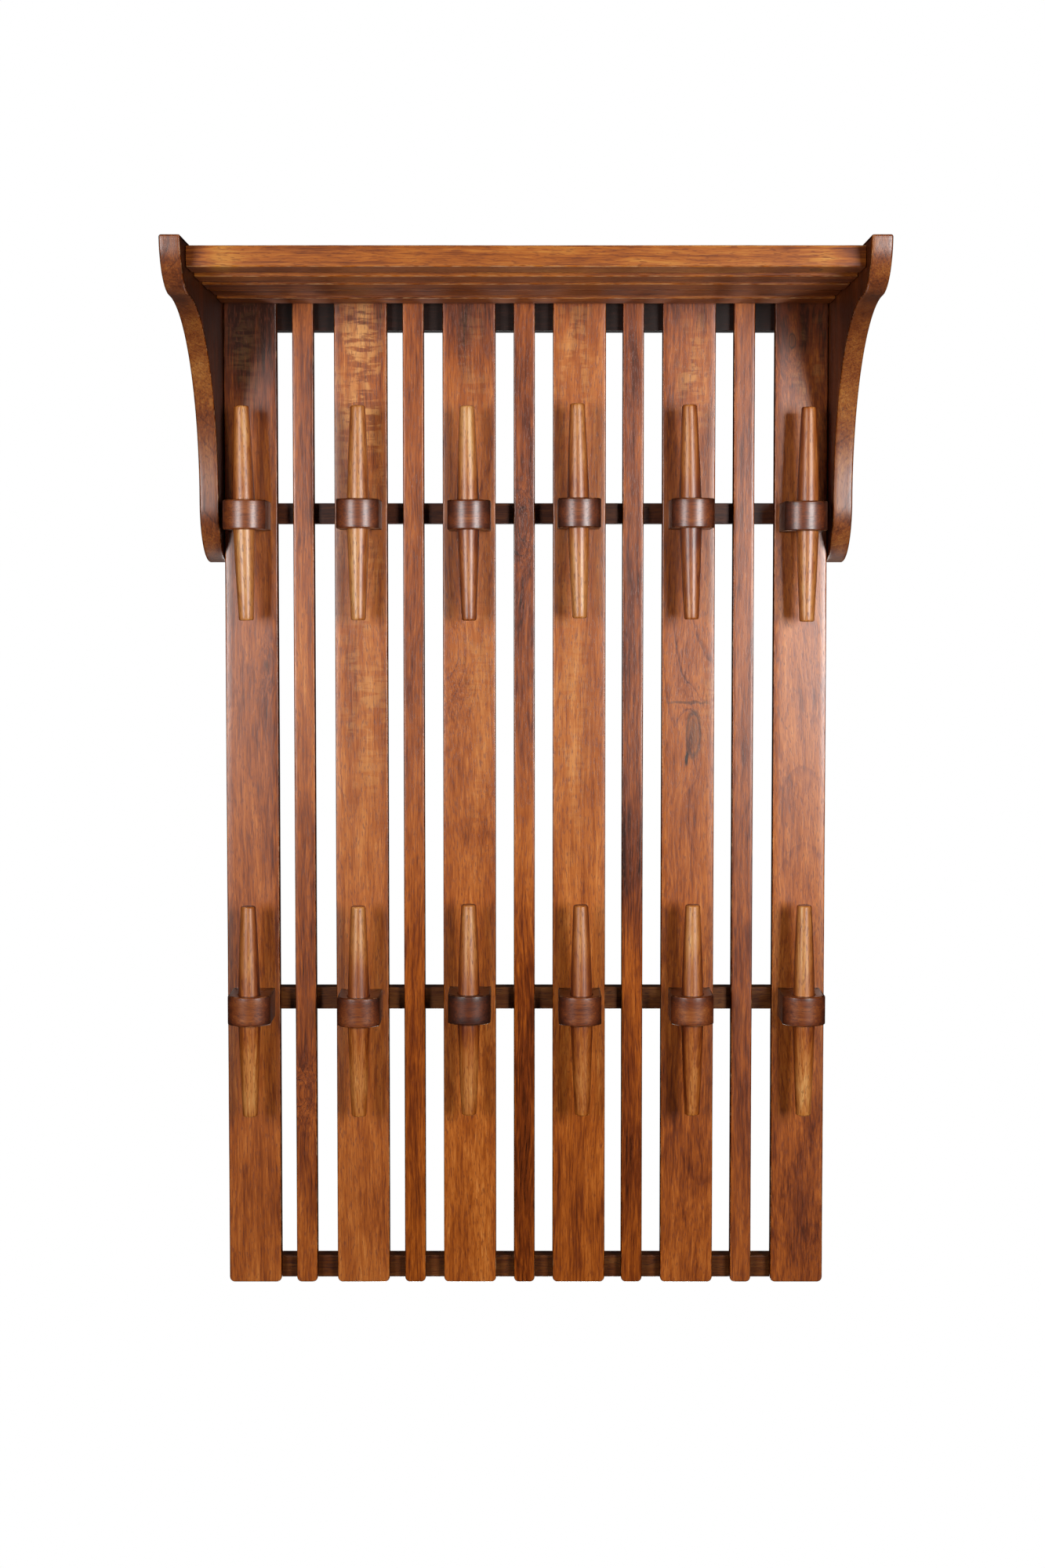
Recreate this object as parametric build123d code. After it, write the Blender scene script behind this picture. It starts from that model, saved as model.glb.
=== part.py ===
from build123d import *
import os

os.makedirs("parts", exist_ok=True)

# Millimetres. X runs along the shelf, Y into the wall and Z up. The wall face is Y = 0, the
# front of the rack is towards -Y, and the origin is midway between the two keyhole entries.

# Slats: wide and narrow boards side by side, with open gaps
WIDE_COUNT = 6
WIDE_WIDTH = 50.0
NARROW_WIDTH = 20.0
SLAT_GAP = 17.0
SLAT_LENGTH = 950.0
SLAT_THICK = 10.0
SLAT_CORNER = 5.0
SLAT_ARRIS = 1.5
# Hand fitting: how far each slat stands to the right of its even place
WIDE_DRIFT = (0.5, 0.3, -1.6, -1.6, -2.4, -0.7)
NARROW_DRIFT = (-1.9, -2.1, -1.6, -2.9, -2.4)

# Rails: cross members behind the slats
RAIL_THICK = 14.0
RAIL_HEIGHT = 19.5
LOW_RAIL_HEIGHT = 21.0
RAIL_ARRIS = 1.0
TOP_RAIL_HEIGHT = 40.0
SLAT_RISE = 1.5
UPPER_HOOK_DROP = 213.5
HOOK_ROW_SPACING = 463.5
BOTTOM_RAIL_INSET = 1.5
LOW_RAIL_SETBACK = 2.0

# Side brackets: a round nose, an elliptical cove and a round toe
BRACKET_THICK = 18.0
BRACKET_REACH = 244.0
BRACKET_HEIGHT = 265.0
BRACKET_LIP = 5.5
NOSE_RADIUS = 44.0
TOE_RADIUS = 55.0
BRACKET_ARRIS = 2.0

# Shelf bars, each set a little above or below the line by its dowels
BAR_COUNT = 5
BAR_WIDTH = 30.0
BAR_THICK = 18.0
BAR_SETBACK = 23.0
BAR_BACK_GAP = 7.0
BAR_ARRIS = 1.5
BAR_SETTLE = (0.6, -0.8, -1.0, 0.6, -0.6)
END_GAP = 0.4

# Hooks: a D-shaped block with a double-tapered peg through it
BLOCK_WIDTH = 40.0
BLOCK_DEPTH = 47.0
BLOCK_SIDE = 36.0
BLOCK_HEIGHT = 27.5
BLOCK_CORNER = 3.0
BLOCK_ARRIS = 1.5
BLOCK_DROP = 2.2
PEG_OFFSET = 31.0
PEG_RADIUS = 10.3
PEG_TIP_RADIUS = 7.0
PEG_SWELL = 0.2
PEG_LENGTH = 198.5
PEG_ROUND = 2.0
PEG_FIT = 0.1
BORE_CHAMFER = 0.8
# Hand fitting of each hook, upper row first: the block's shift to the right and up, the bore's
# shift to the right in its block, the peg's shift up, and its lean to the right in degrees
HOOK_FITTING = (
    (-0.7, -1.0, -0.9, 1.3, -1.1),
    (0.0, 0.0, 0.2, 0.6, 0.1),
    (-0.9, -1.2, -0.8, 1.4, -0.6),
    (-2.4, 0.6, -0.8, 1.8, -0.8),
    (-1.3, 0.4, -2.0, 0.9, -0.8),
    (-0.9, -2.3, 2.4, 1.5, 0.3),
    (0.9, 0.3, -0.4, -2.1, -0.3),
    (-0.7, -0.8, -0.2, -0.8, -0.1),
    (-1.1, 1.7, -0.5, -1.8, 0.0),
    (-1.3, 0.5, 1.4, -1.1, -0.5),
    (-0.4, 0.8, 0.5, -1.2, 0.0),
    (0.0, 0.5, 0.6, -1.3, -0.1),
)

# Dowels
DOWEL_RADIUS = 3.0
DOWEL_IN_BRACKET = 12.0
DOWEL_IN_RAIL = 16.0
DOWEL_CHAMFER = 0.8
BAR_DOWEL_SPACING = 16.0
TOP_RAIL_DOWEL_SPACING = 24.0
HOOK_RAIL_DOWEL_RISE = 4.5
DOWEL_FIT = 0.1
DOWEL_END_GAP = 0.5

# Screws, all driven from behind
SLAT_SCREW_RADIUS = 1.75
SLAT_SCREW_HEAD = 3.5
SLAT_SCREW_BITE = 6.0
BLOCK_SCREW_RADIUS = 2.0
BLOCK_SCREW_HEAD = 4.0
BLOCK_SCREW_BITE = 20.0
BLOCK_SCREW_SPACING = 29.0
TOP_SCREW_SPACING = 22.0
BOTTOM_SCREW_SPACING = 28.0
SCREW_FIT = 0.1

# Wall hangers: steel keyhole plates let into the back of the top rail
PLATE_WIDTH = 38.0
PLATE_HEIGHT = 18.0
PLATE_THICK = 1.5
PLATE_CORNER = 2.0
PLATE_SHIFT = 0.5
PLATE_FIT = 0.2
ENTRY_RADIUS = 4.5
KEY_RADIUS = 2.25
KEY_LIFT = 6.5
ENTRY_BELOW_CENTRE = 3.0
HEAD_POCKET_RADIUS = 4.75
HEAD_POCKET_DEPTH = 8.0
PLATE_SCREW_RADIUS = 1.5
PLATE_SCREW_HEAD = 2.8
PLATE_SCREW_LENGTH = 11.0
PLATE_SCREW_SPACING = 29.0

# Worked out from the sizes above
WIDE_PITCH = WIDE_WIDTH + NARROW_WIDTH + 2 * SLAT_GAP
FIELD_WIDTH = (WIDE_COUNT - 1) * WIDE_PITCH + WIDE_WIDTH
WIDE_EVEN = [(i - (WIDE_COUNT - 1) / 2) * WIDE_PITCH for i in range(WIDE_COUNT)]
NARROW_EVEN = [x + WIDE_PITCH / 2 for x in WIDE_EVEN[:-1]]
WIDE_X = [x + WIDE_DRIFT[i % len(WIDE_DRIFT)] for i, x in enumerate(WIDE_EVEN)]
NARROW_X = [x + NARROW_DRIFT[i % len(NARROW_DRIFT)] for i, x in enumerate(NARROW_EVEN)]
SLAT_BACK = -RAIL_THICK
SLAT_FRONT = SLAT_BACK - SLAT_THICK
TOP_RAIL_Z = ENTRY_BELOW_CENTRE
SLAT_TOP = TOP_RAIL_Z + TOP_RAIL_HEIGHT / 2 + SLAT_RISE
SLAT_BOTTOM = SLAT_TOP - SLAT_LENGTH
UPPER_RAIL_Z = SLAT_TOP - UPPER_HOOK_DROP
LOWER_RAIL_Z = UPPER_RAIL_Z - HOOK_ROW_SPACING
BOTTOM_RAIL_Z = SLAT_BOTTOM + BOTTOM_RAIL_INSET + LOW_RAIL_HEIGHT / 2
BRACKET_TOP = SLAT_TOP + BRACKET_LIP
BRACKET_FRONT = -BRACKET_REACH
BAR_FRONT = BRACKET_FRONT + BAR_SETBACK
BAR_BACK = SLAT_FRONT - BAR_BACK_GAP
BAR_PITCH = (BAR_BACK - BAR_FRONT - BAR_WIDTH) / (BAR_COUNT - 1)
BAR_Z = SLAT_TOP - BAR_THICK / 2
PLATE_X = (WIDE_EVEN[-1] + NARROW_EVEN[-1]) / 2 + PLATE_SHIFT
SLAT_SCREW_LENGTH = RAIL_THICK + SLAT_SCREW_BITE
BLOCK_SCREW_LENGTH = RAIL_THICK + SLAT_THICK + BLOCK_SCREW_BITE


def front_and_back(board):
    """The edges round a board's front and back faces."""
    faces = board.faces().sort_by(Axis.Y)
    return faces[0].edges() + faces[-1].edges()


def screw(radius, head_radius, length, spare=0.0):
    """A countersunk wood screw along -Y with its head flush at Y = 0, grown by spare for its hole."""
    sink = head_radius - radius
    point = 1.5 * radius
    r = radius + spare
    head = head_radius + spare
    tip = -length - spare
    with BuildPart() as body:
        with BuildSketch(Plane.XY):
            with BuildLine():
                Polyline((0, 0), (head, 0), (r, -sink), (r, tip + point), (0, tip), close=True)
            make_face()
        revolve(axis=Axis.Y)
    return body.part


def slat_screw(spare=0.0):
    return screw(SLAT_SCREW_RADIUS, SLAT_SCREW_HEAD, SLAT_SCREW_LENGTH, spare)


def block_screw(spare=0.0):
    return screw(BLOCK_SCREW_RADIUS, BLOCK_SCREW_HEAD, BLOCK_SCREW_LENGTH, spare)


def plate_screw(spare=0.0):
    return screw(PLATE_SCREW_RADIUS, PLATE_SCREW_HEAD, PLATE_SCREW_LENGTH, spare)


def slat_screw_places():
    """Screws that hold the slats: all four rails on a narrow slat, top and bottom on a wide one."""
    rails = (TOP_RAIL_Z, UPPER_RAIL_Z, LOWER_RAIL_Z, BOTTOM_RAIL_Z)
    places = [(x, z) for x in NARROW_X for z in rails]
    for x in WIDE_X:
        for side in (-1, 1):
            places.append((x, TOP_RAIL_Z + side * TOP_SCREW_SPACING / 2))
            places.append((x + side * BOTTOM_SCREW_SPACING / 2, BOTTOM_RAIL_Z))
    return places


def hook_places():
    """Each hook's even place in X and Z with its hand fitting, the upper row first."""
    rows = (UPPER_RAIL_Z - BLOCK_DROP, LOWER_RAIL_Z - BLOCK_DROP)
    even = [(x, z) for z in rows for x in WIDE_EVEN]
    return [(x, z, HOOK_FITTING[i % len(HOOK_FITTING)]) for i, (x, z) in enumerate(even)]


def block_screw_places():
    """Two screws behind each block: they follow it to the right, but keep to the rail's height."""
    half = BLOCK_SCREW_SPACING / 2
    return [(x + fitting[0] + side * half, z) for x, z, fitting in hook_places() for side in (-1, 1)]


def drill(board, low, high):
    """Cut the holes of every screw whose axis meets the board between the two corners."""
    jobs = [(slat_screw(SCREW_FIT), slat_screw_places())]
    jobs.append((block_screw(SCREW_FIT), block_screw_places()))
    for tool, places in jobs:
        for x, z in places:
            if low[0] < x < high[0] and low[1] < z < high[1]:
                board -= Pos(x, 0, z) * tool
    return board


def slat(x, width):
    """A flat board with rounded ends and softened long arrises, drilled from behind."""
    middle = (SLAT_TOP + SLAT_BOTTOM) / 2
    with BuildPart() as body:
        with BuildSketch(Plane.XZ.offset(RAIL_THICK)):
            with Locations((x, middle)):
                RectangleRounded(width, SLAT_LENGTH, SLAT_CORNER)
        extrude(amount=SLAT_THICK)
        fillet(front_and_back(body), SLAT_ARRIS)
    return drill(body.part, (x - width / 2, SLAT_BOTTOM), (x + width / 2, SLAT_TOP))


def rail(length, height, z):
    """A cross rail against the wall, with its long arrises softened."""
    with BuildPart() as body:
        with BuildSketch(Plane.XZ):
            with Locations((0, z)):
                Rectangle(length, height)
        extrude(amount=RAIL_THICK)
        fillet(body.edges().filter_by(Axis.X), RAIL_ARRIS)
    return drill(body.part, (-length / 2, z - height / 2), (length / 2, z + height / 2))


def dowel(spare=0.0, end_gap=0.0):
    """A chamfered dowel along X that crosses the joint plane at X = 0, bracket side first."""
    length = DOWEL_IN_BRACKET + DOWEL_IN_RAIL + 2 * end_gap
    middle = (DOWEL_IN_RAIL - DOWEL_IN_BRACKET) / 2
    pin = Pos(middle, 0, 0) * Rot(0, 90, 0) * Cylinder(DOWEL_RADIUS + spare, length)
    return chamfer(pin.edges(), DOWEL_CHAMFER) if spare == 0 else pin


def bar_place(i):
    """Centre of shelf bar i in Y and Z, counted from the front."""
    y = BAR_FRONT + BAR_WIDTH / 2 + i * BAR_PITCH
    return y, BAR_Z + BAR_SETTLE[i % len(BAR_SETTLE)]


def bar_dowel_places():
    half = BAR_DOWEL_SPACING / 2
    spots = []
    for i in range(BAR_COUNT):
        y, z = bar_place(i)
        spots += [(y - half, z), (y + half, z)]
    return spots


def rail_dowel_places():
    y = -RAIL_THICK / 2
    half = TOP_RAIL_DOWEL_SPACING / 2
    hook_rail_z = UPPER_RAIL_Z + HOOK_RAIL_DOWEL_RISE
    return [(y, TOP_RAIL_Z - half), (y, TOP_RAIL_Z + half), (y, hook_rail_z)]


def dowel_row(spots, spare=0.0, end_gap=0.0):
    """One dowel at each spot in Y and Z, across both bracket joints."""
    left = [Pos(-FIELD_WIDTH / 2, y, z) * dowel(spare, end_gap) for y, z in spots]
    return left + [mirror(pin, about=Plane.YZ) for pin in left]


def cut_dowel_holes(piece, spots):
    for hole in dowel_row(spots, DOWEL_FIT, DOWEL_END_GAP):
        piece -= hole
    return piece


def shelf_bar(i):
    """A bar between the brackets, with its long arrises softened and two dowel holes in each end."""
    y, z = bar_place(i)
    bar = Pos(0, y, z) * Box(FIELD_WIDTH - 2 * END_GAP, BAR_WIDTH, BAR_THICK)
    bar = fillet(bar.edges().filter_by(Axis.X), BAR_ARRIS)
    half = BAR_DOWEL_SPACING / 2
    return cut_dowel_holes(bar, [(y - half, z), (y + half, z)])


def bracket():
    """The left bracket: nose arc, cove and toe arc meet smoothly, and the back lies on the wall."""
    top = BRACKET_TOP
    bottom = top - BRACKET_HEIGHT
    cove_reach = BRACKET_REACH - NOSE_RADIUS - TOE_RADIUS
    cove_drop = BRACKET_HEIGHT - NOSE_RADIUS - TOE_RADIUS
    nose_centre = (BRACKET_FRONT + NOSE_RADIUS, top)
    toe_centre = (0, bottom + TOE_RADIUS)
    cove_centre = (nose_centre[0], toe_centre[1])
    with BuildPart() as body:
        with BuildSketch(Plane.YZ.offset(-FIELD_WIDTH / 2 - BRACKET_THICK)):
            with BuildLine():
                CenterArc(nose_centre, NOSE_RADIUS, 180, 90)
                EllipticalCenterArc(cove_centre, cove_reach, cove_drop, arc_size=90)
                CenterArc(toe_centre, TOE_RADIUS, 180, 90)
                Polyline((0, bottom), (0, top), (BRACKET_FRONT, top))
            make_face()
        extrude(amount=BRACKET_THICK)
        sides = body.faces().sort_by(Axis.X)
        rim = sides[0].edges() + sides[-1].edges()
        wall_line = rim.filter_by(lambda edge: abs(edge.center().Y) < BRACKET_ARRIS)
        fillet([edge for edge in rim if edge not in wall_line], BRACKET_ARRIS)
    return cut_dowel_holes(body.part, bar_dowel_places() + rail_dowel_places())


def bore_axis(x, z, fitting):
    """The bore's middle, turned to its lean."""
    shift, rise, bore_shift, _, lean = fitting
    return Pos(x + shift + bore_shift, SLAT_FRONT - PEG_OFFSET, z + rise) * Rot(0, lean, 0)


def hook_block(x, z, fitting):
    """A D-shaped block, flat on its slat and bowed in front, bored for the peg."""
    axis = bore_axis(x, z, fitting)
    x += fitting[0]
    z += fitting[1]
    half = BLOCK_WIDTH / 2
    with BuildPart() as body:
        with BuildSketch(Plane.XY.offset(z - BLOCK_HEIGHT / 2)) as plan:
            with BuildLine():
                Polyline((-half, -BLOCK_SIDE), (-half, 0), (half, 0), (half, -BLOCK_SIDE))
                ThreePointArc((half, -BLOCK_SIDE), (0, -BLOCK_DEPTH), (-half, -BLOCK_SIDE))
            make_face()
            fillet(plan.vertices().filter_by(lambda v: v.Y < -BLOCK_SIDE / 2), BLOCK_CORNER)
        extrude(amount=BLOCK_HEIGHT)
        ends = body.faces().filter_by(Axis.Z).edges()
        fillet(ends.filter_by(lambda edge: edge.center().Y < 0), BLOCK_ARRIS)
    block = Pos(x, SLAT_FRONT, 0) * body.part
    bore = PEG_RADIUS + PEG_FIT
    mouth = Cone(bore, bore + 2 * BORE_CHAMFER, 2 * BORE_CHAMFER)
    block -= axis * Cylinder(bore, BLOCK_HEIGHT + 2 * BORE_CHAMFER)
    block -= axis * Pos(0, 0, BLOCK_HEIGHT / 2) * mouth
    block -= axis * Pos(0, 0, -BLOCK_HEIGHT / 2) * Rot(180, 0, 0) * mouth
    return drill(block, (x - half, z - BLOCK_HEIGHT / 2), (x + half, z + BLOCK_HEIGHT / 2))


def peg(x, z, fitting):
    """A turned peg: straight in its bore, then tapering in a slight swell to each rounded tip."""
    straight = BLOCK_HEIGHT / 2
    end = PEG_LENGTH / 2
    shoulder = end - PEG_ROUND
    middle = ((PEG_RADIUS + PEG_TIP_RADIUS) / 2 + PEG_SWELL, (straight + shoulder) / 2)
    with BuildPart() as body:
        with BuildSketch(Plane.XZ):
            with BuildLine():
                Polyline((0, 0), (PEG_RADIUS, 0), (PEG_RADIUS, straight))
                ThreePointArc((PEG_RADIUS, straight), middle, (PEG_TIP_RADIUS, shoulder))
                CenterArc((PEG_TIP_RADIUS - PEG_ROUND, shoulder), PEG_ROUND, 0, 90)
                Polyline((PEG_TIP_RADIUS - PEG_ROUND, end), (0, end), (0, 0))
            make_face()
            mirror(about=Plane.XZ)
        revolve(axis=Axis.Z)
    return bore_axis(x, z, fitting) * Pos(0, 0, fitting[3]) * body.part


def keyhole(entry, key, depth):
    """A round entry at the origin with a slot that runs up from it, cut from Y = 0 towards -Y."""
    with BuildPart() as body:
        with BuildSketch(Plane.XZ):
            Circle(entry)
            with Locations((0, KEY_LIFT / 2)):
                Rectangle(2 * key, KEY_LIFT)
            with Locations((0, KEY_LIFT)):
                Circle(key)
        extrude(amount=depth)
    return body.part


def plate_blank(grow=0.0):
    """The outline of a hanger plate round its keyhole entry at the origin."""
    with BuildPart() as body:
        with BuildSketch(Plane.XZ):
            with Locations((0, ENTRY_BELOW_CENTRE)):
                RectangleRounded(PLATE_WIDTH + 2 * grow, PLATE_HEIGHT + 2 * grow, PLATE_CORNER)
        extrude(amount=PLATE_THICK)
    return body.part


def plate_screw_places(x):
    half = PLATE_SCREW_SPACING / 2
    return [(x - half, ENTRY_BELOW_CENTRE), (x + half, ENTRY_BELOW_CENTRE)]


def hanger_plate(x):
    plate = Pos(x, 0, 0) * (plate_blank() - keyhole(ENTRY_RADIUS, KEY_RADIUS, PLATE_THICK))
    for sx, sz in plate_screw_places(x):
        plate -= Pos(sx, 0, sz) * plate_screw(SCREW_FIT)
    return plate


def top_rail():
    """The tall rail under the shelf, with a recess and a screw-head pocket for each hanger."""
    body = rail(FIELD_WIDTH - 2 * END_GAP, TOP_RAIL_HEIGHT, TOP_RAIL_Z)
    for x in (-PLATE_X, PLATE_X):
        body -= Pos(x, 0, 0) * plate_blank(PLATE_FIT)
        body -= Pos(x, 0, 0) * keyhole(HEAD_POCKET_RADIUS, HEAD_POCKET_RADIUS, HEAD_POCKET_DEPTH)
        for sx, sz in plate_screw_places(x):
            body -= Pos(sx, 0, sz) * plate_screw(SCREW_FIT)
    return cut_dowel_holes(body, rail_dowel_places())


def upper_hook_rail():
    body = rail(FIELD_WIDTH - 2 * END_GAP, RAIL_HEIGHT, UPPER_RAIL_Z)
    return cut_dowel_holes(body, rail_dowel_places())


def low_rail(z):
    return rail(FIELD_WIDTH - 2 * LOW_RAIL_SETBACK, LOW_RAIL_HEIGHT, z)


def scatter(piece, places):
    """Copies of one fastener at places in X and Z, as a group of separate solids."""
    return Compound([Pos(x, 0, z) * piece for x, z in places])


nodes = {
    "top_rail": top_rail(),
    "upper_hook_rail": upper_hook_rail(),
    "lower_hook_rail": low_rail(LOWER_RAIL_Z),
    "bottom_rail": low_rail(BOTTOM_RAIL_Z),
}
for n, x in enumerate(WIDE_X, 1):
    nodes[f"wide_slat_{n}"] = slat(x, WIDE_WIDTH)
for n, x in enumerate(NARROW_X, 1):
    nodes[f"narrow_slat_{n}"] = slat(x, NARROW_WIDTH)

nodes["side_bracket_left"] = bracket()
nodes["side_bracket_right"] = mirror(nodes["side_bracket_left"], about=Plane.YZ)
for n in range(BAR_COUNT):
    nodes[f"shelf_bar_{n + 1}"] = shelf_bar(n)

names = [f"{row}_{n + 1}" for row in ("upper", "lower") for n in range(WIDE_COUNT)]
for name, (x, z, fitting) in zip(names, hook_places()):
    row, n = name.split("_")
    nodes[f"{row}_hook_block_{n}"] = hook_block(x, z, fitting)
    nodes[f"{row}_peg_{n}"] = peg(x, z, fitting)

nodes["shelf_dowels"] = Compound(dowel_row(bar_dowel_places()))
nodes["rail_dowels"] = Compound(dowel_row(rail_dowel_places()))
nodes["slat_screws"] = scatter(slat_screw(), slat_screw_places())
nodes["block_screws"] = scatter(block_screw(), block_screw_places())
nodes["hanger_plate_left"] = hanger_plate(-PLATE_X)
nodes["hanger_plate_right"] = hanger_plate(PLATE_X)
hanger_screws = plate_screw_places(-PLATE_X) + plate_screw_places(PLATE_X)
nodes["hanger_screws"] = scatter(plate_screw(), hanger_screws)

for name, shape in nodes.items():
    export_step(shape, f"parts/{name}.step")
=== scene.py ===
import math

import bpy
import numpy as np
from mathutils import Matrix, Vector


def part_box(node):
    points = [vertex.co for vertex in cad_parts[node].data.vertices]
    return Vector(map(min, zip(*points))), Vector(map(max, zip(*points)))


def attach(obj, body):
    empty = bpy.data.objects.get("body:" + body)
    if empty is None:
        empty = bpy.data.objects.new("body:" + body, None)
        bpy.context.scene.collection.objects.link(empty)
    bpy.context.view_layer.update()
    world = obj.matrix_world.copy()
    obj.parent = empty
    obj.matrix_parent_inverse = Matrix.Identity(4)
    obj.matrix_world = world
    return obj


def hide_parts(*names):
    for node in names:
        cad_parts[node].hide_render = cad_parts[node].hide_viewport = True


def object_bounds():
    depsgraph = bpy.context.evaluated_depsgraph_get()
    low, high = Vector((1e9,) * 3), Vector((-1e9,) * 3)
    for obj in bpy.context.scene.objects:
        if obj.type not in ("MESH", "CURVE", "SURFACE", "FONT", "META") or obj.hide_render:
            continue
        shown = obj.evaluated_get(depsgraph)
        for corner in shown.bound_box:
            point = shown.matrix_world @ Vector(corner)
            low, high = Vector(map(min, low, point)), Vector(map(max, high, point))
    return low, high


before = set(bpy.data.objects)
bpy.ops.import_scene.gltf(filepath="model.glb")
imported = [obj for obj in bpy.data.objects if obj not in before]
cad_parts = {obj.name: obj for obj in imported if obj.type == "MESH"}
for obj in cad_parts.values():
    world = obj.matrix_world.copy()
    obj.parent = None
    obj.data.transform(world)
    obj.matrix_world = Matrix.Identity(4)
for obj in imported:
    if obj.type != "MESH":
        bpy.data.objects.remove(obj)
cad_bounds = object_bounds()


# ---- Slats -------------------------------------------------------------------------------------
# Six wide and five narrow boards of mango wood, planed, stained walnut brown and sprayed with a
# satin lacquer. Each is screwed to the four rails from behind, and its long arrises are rubbed
# down to paler wood.

SLAT_ARRIS = 1.5
SLAT_CORNER = 5.0
SLAT_STATION = 5.0
ARRIS_WANDER = 0.3
SIDE_STAIN_AND_SHADE = 1.1
SAWN_SIDE_MATT = 0.9
DULL_FROM = -420.0
DULL_FULL = -620.0

# One line per board, left to right: the pith's place across and behind the face, how much it leans
# towards the face per millimetre, how plainly the rings show, the tone, how dull the lacquer gets
# between the two heights above, and the figure's seed.
WIDE_BOARDS = (
    dict(pith=(38, 70), lean=0.030, rings=0.15, tone=0.08, matt=0.0, seed=11),
    dict(pith=(-60, 90), lean=0.020, rings=0.15, tone=0.14, matt=0.0, seed=22),
    dict(pith=(24, 86), lean=0.060, rings=0.30, tone=0.09, matt=0.5, seed=33),
    dict(pith=(-90, 60), lean=-0.020, rings=0.15, tone=0.14, matt=0.6, seed=44),
    dict(pith=(30, 70), lean=-0.060, rings=0.25, tone=0.08, matt=0.3, seed=55),
    dict(pith=(-7, 173), lean=0.082, rings=0.20, tone=0.12, matt=0.2, seed=66),
)
NARROW_BOARDS = (
    dict(pith=(60, 40), lean=0.012, rings=0.3, tone=0.07, matt=0.2, seed=17),
    dict(pith=(-45, 60), lean=-0.010, rings=0.2, tone=0.0, matt=0.7, seed=27),
    dict(pith=(14, 50), lean=0.024, rings=0.3, tone=-0.04, matt=0.8, seed=37),
    dict(pith=(-70, 35), lean=0.015, rings=0.3, tone=0.02, matt=0.7, seed=47),
    dict(pith=(50, 55), lean=-0.020, rings=0.2, tone=0.08, matt=0.1, seed=57),
)
# Paler or darker patches by board: place across, height, half width, half length and strength.
# The first patch of each wide board is painted shade under the shelf, and on the outer boards
# under the brackets too. The long dark band left of the upper peg on the fifth and sixth boards is
# a painted peg shadow.
WIDE_SHADES = (
    (
        (0, 0, 60, 85, -0.70), (0, -390, 60, 130, -0.10), (23, -400, 6, 320, -0.14),
        (-4, -310, 14, 30, 0.08), (0, -800, 60, 150, -0.06),
    ),
    ((0, 5, 60, 28, -0.30), (21, -300, 7, 300, -0.10), (-22, -80, 6, 90, -0.16), (1, -490, 5, 40, 0.12)),
    (
        (0, 0, 60, 36, -0.40), (-14, -420, 9, 90, -0.10), (8, -370, 16, 90, 0.10),
        (6, -545, 6, 30, 0.14), (0, -850, 60, 150, 0.07),
    ),
    (
        (0, 5, 60, 28, -0.20), (-10, -400, 16, 130, 0.12), (14, -350, 9, 90, -0.06),
        (0, -780, 60, 60, -0.10), (0, -890, 60, 60, -0.20),
    ),
    ((0, 5, 60, 28, -0.26), (-20, -120, 8, 130, -0.16), (8, -60, 6, 60, 0.10), (0, -785, 60, 70, -0.14)),
    ((0, 0, 60, 60, -0.42), (-20, -150, 9, 150, -0.14), (23, -60, 5, 70, -0.14), (0, -860, 60, 100, -0.30)),
)
NARROW_SHADES = (
    ((0, -60, 30, 120, -0.14), (0, -310, 5, 45, 0.16), (8, -430, 3, 60, 0.14), (0, -720, 30, 200, -0.20)),
    ((0, -290, 20, 90, -0.12), (0, -500, 30, 50, 0.04), (0, -740, 30, 160, -0.05)),
    ((0, -190, 30, 170, -0.16), (0, -500, 30, 70, 0.20), (0, -780, 30, 170, -0.22)),
    (
        (0, -90, 30, 90, -0.10), (-6, -350, 5, 200, -0.08), (0, -290, 30, 90, -0.16),
        (0, -520, 30, 80, -0.32), (0, -760, 30, 150, -0.17),
    ),
    ((0, -90, 30, 110, -0.14), (0, -330, 6, 60, 0.06), (4, -420, 4, 20, -0.16), (0, -560, 40, 300, -0.20)),
)
# Golden patches of a wide board, in the same five numbers. The strongest are rippled across.
WIDE_GOLD = (
    ((-6, -44, 14, 50, 0.16),),
    ((-2, -20, 12, 26, 0.6), (0, -85, 20, 80, 1.0), (4, -200, 22, 60, 0.4), (4, -360, 20, 110, 0.45)),
    ((6, -60, 12, 50, 0.30), (6, -325, 15, 55, 0.3), (8, -450, 9, 70, 0.2)),
    ((-4, -50, 20, 60, 0.5), (-8, -380, 14, 160, 0.3)),
    ((4, -70, 12, 60, 0.7), (20, -370, 8, 60, 0.3)),
    ((6, -70, 14, 60, 0.45),),
)
# Where the rings show plainly, in the same five numbers, for any slat that has such a place.
RING_FIGURE = {
    "wide_slat_3": ((-8, -330, 16, 40, 0.6),),
    "wide_slat_5": ((-4, -325, 30, 45, 0.8), (2, -405, 16, 35, 0.7)),
    "wide_slat_6": ((0, -440, 40, 50, 0.34), (-4, -512, 30, 18, 0.26), (8, -320, 20, 30, 0.3)),
    "narrow_slat_1": ((0, -742, 14, 40, 0.9),),
    "narrow_slat_3": ((0, -200, 14, 30, 0.7),),
}
# Where a hidden knot pushes the grain aside: place across, height, half width, half length, push.
BENDS = {
    "wide_slat_1": ((14, -333, 8, 22, 9),),
    "wide_slat_3": ((-10, -322, 16, 45, 14),),
    "wide_slat_5": ((4, -403, 12, 40, 12),),
    "wide_slat_6": ((-9, -28, 9, 24, 12),),
    "narrow_slat_1": ((0, -742, 9, 20, 26),),
    "narrow_slat_3": ((0, -200, 8, 30, 16),),
}
# Knots and marks that show: place across, height, half width, half length, and how dark the heart
# and the rim are.
KNOTS = {
    "wide_slat_1": ((14, -333, 3.0, 5.0, 0.6, 0.3),),
    "wide_slat_5": (
        (5, -398, 8.5, 21.0, 0.50, 0.60),
        (-1, -421, 2.6, 9.0, 0.95, 0.0),
        (1, -368, 24.0, 1.7, 0.55, 0.0),
    ),
    "wide_slat_6": ((-9, -28, 4.5, 7.0, 0.4, 0.75),),
}
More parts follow.
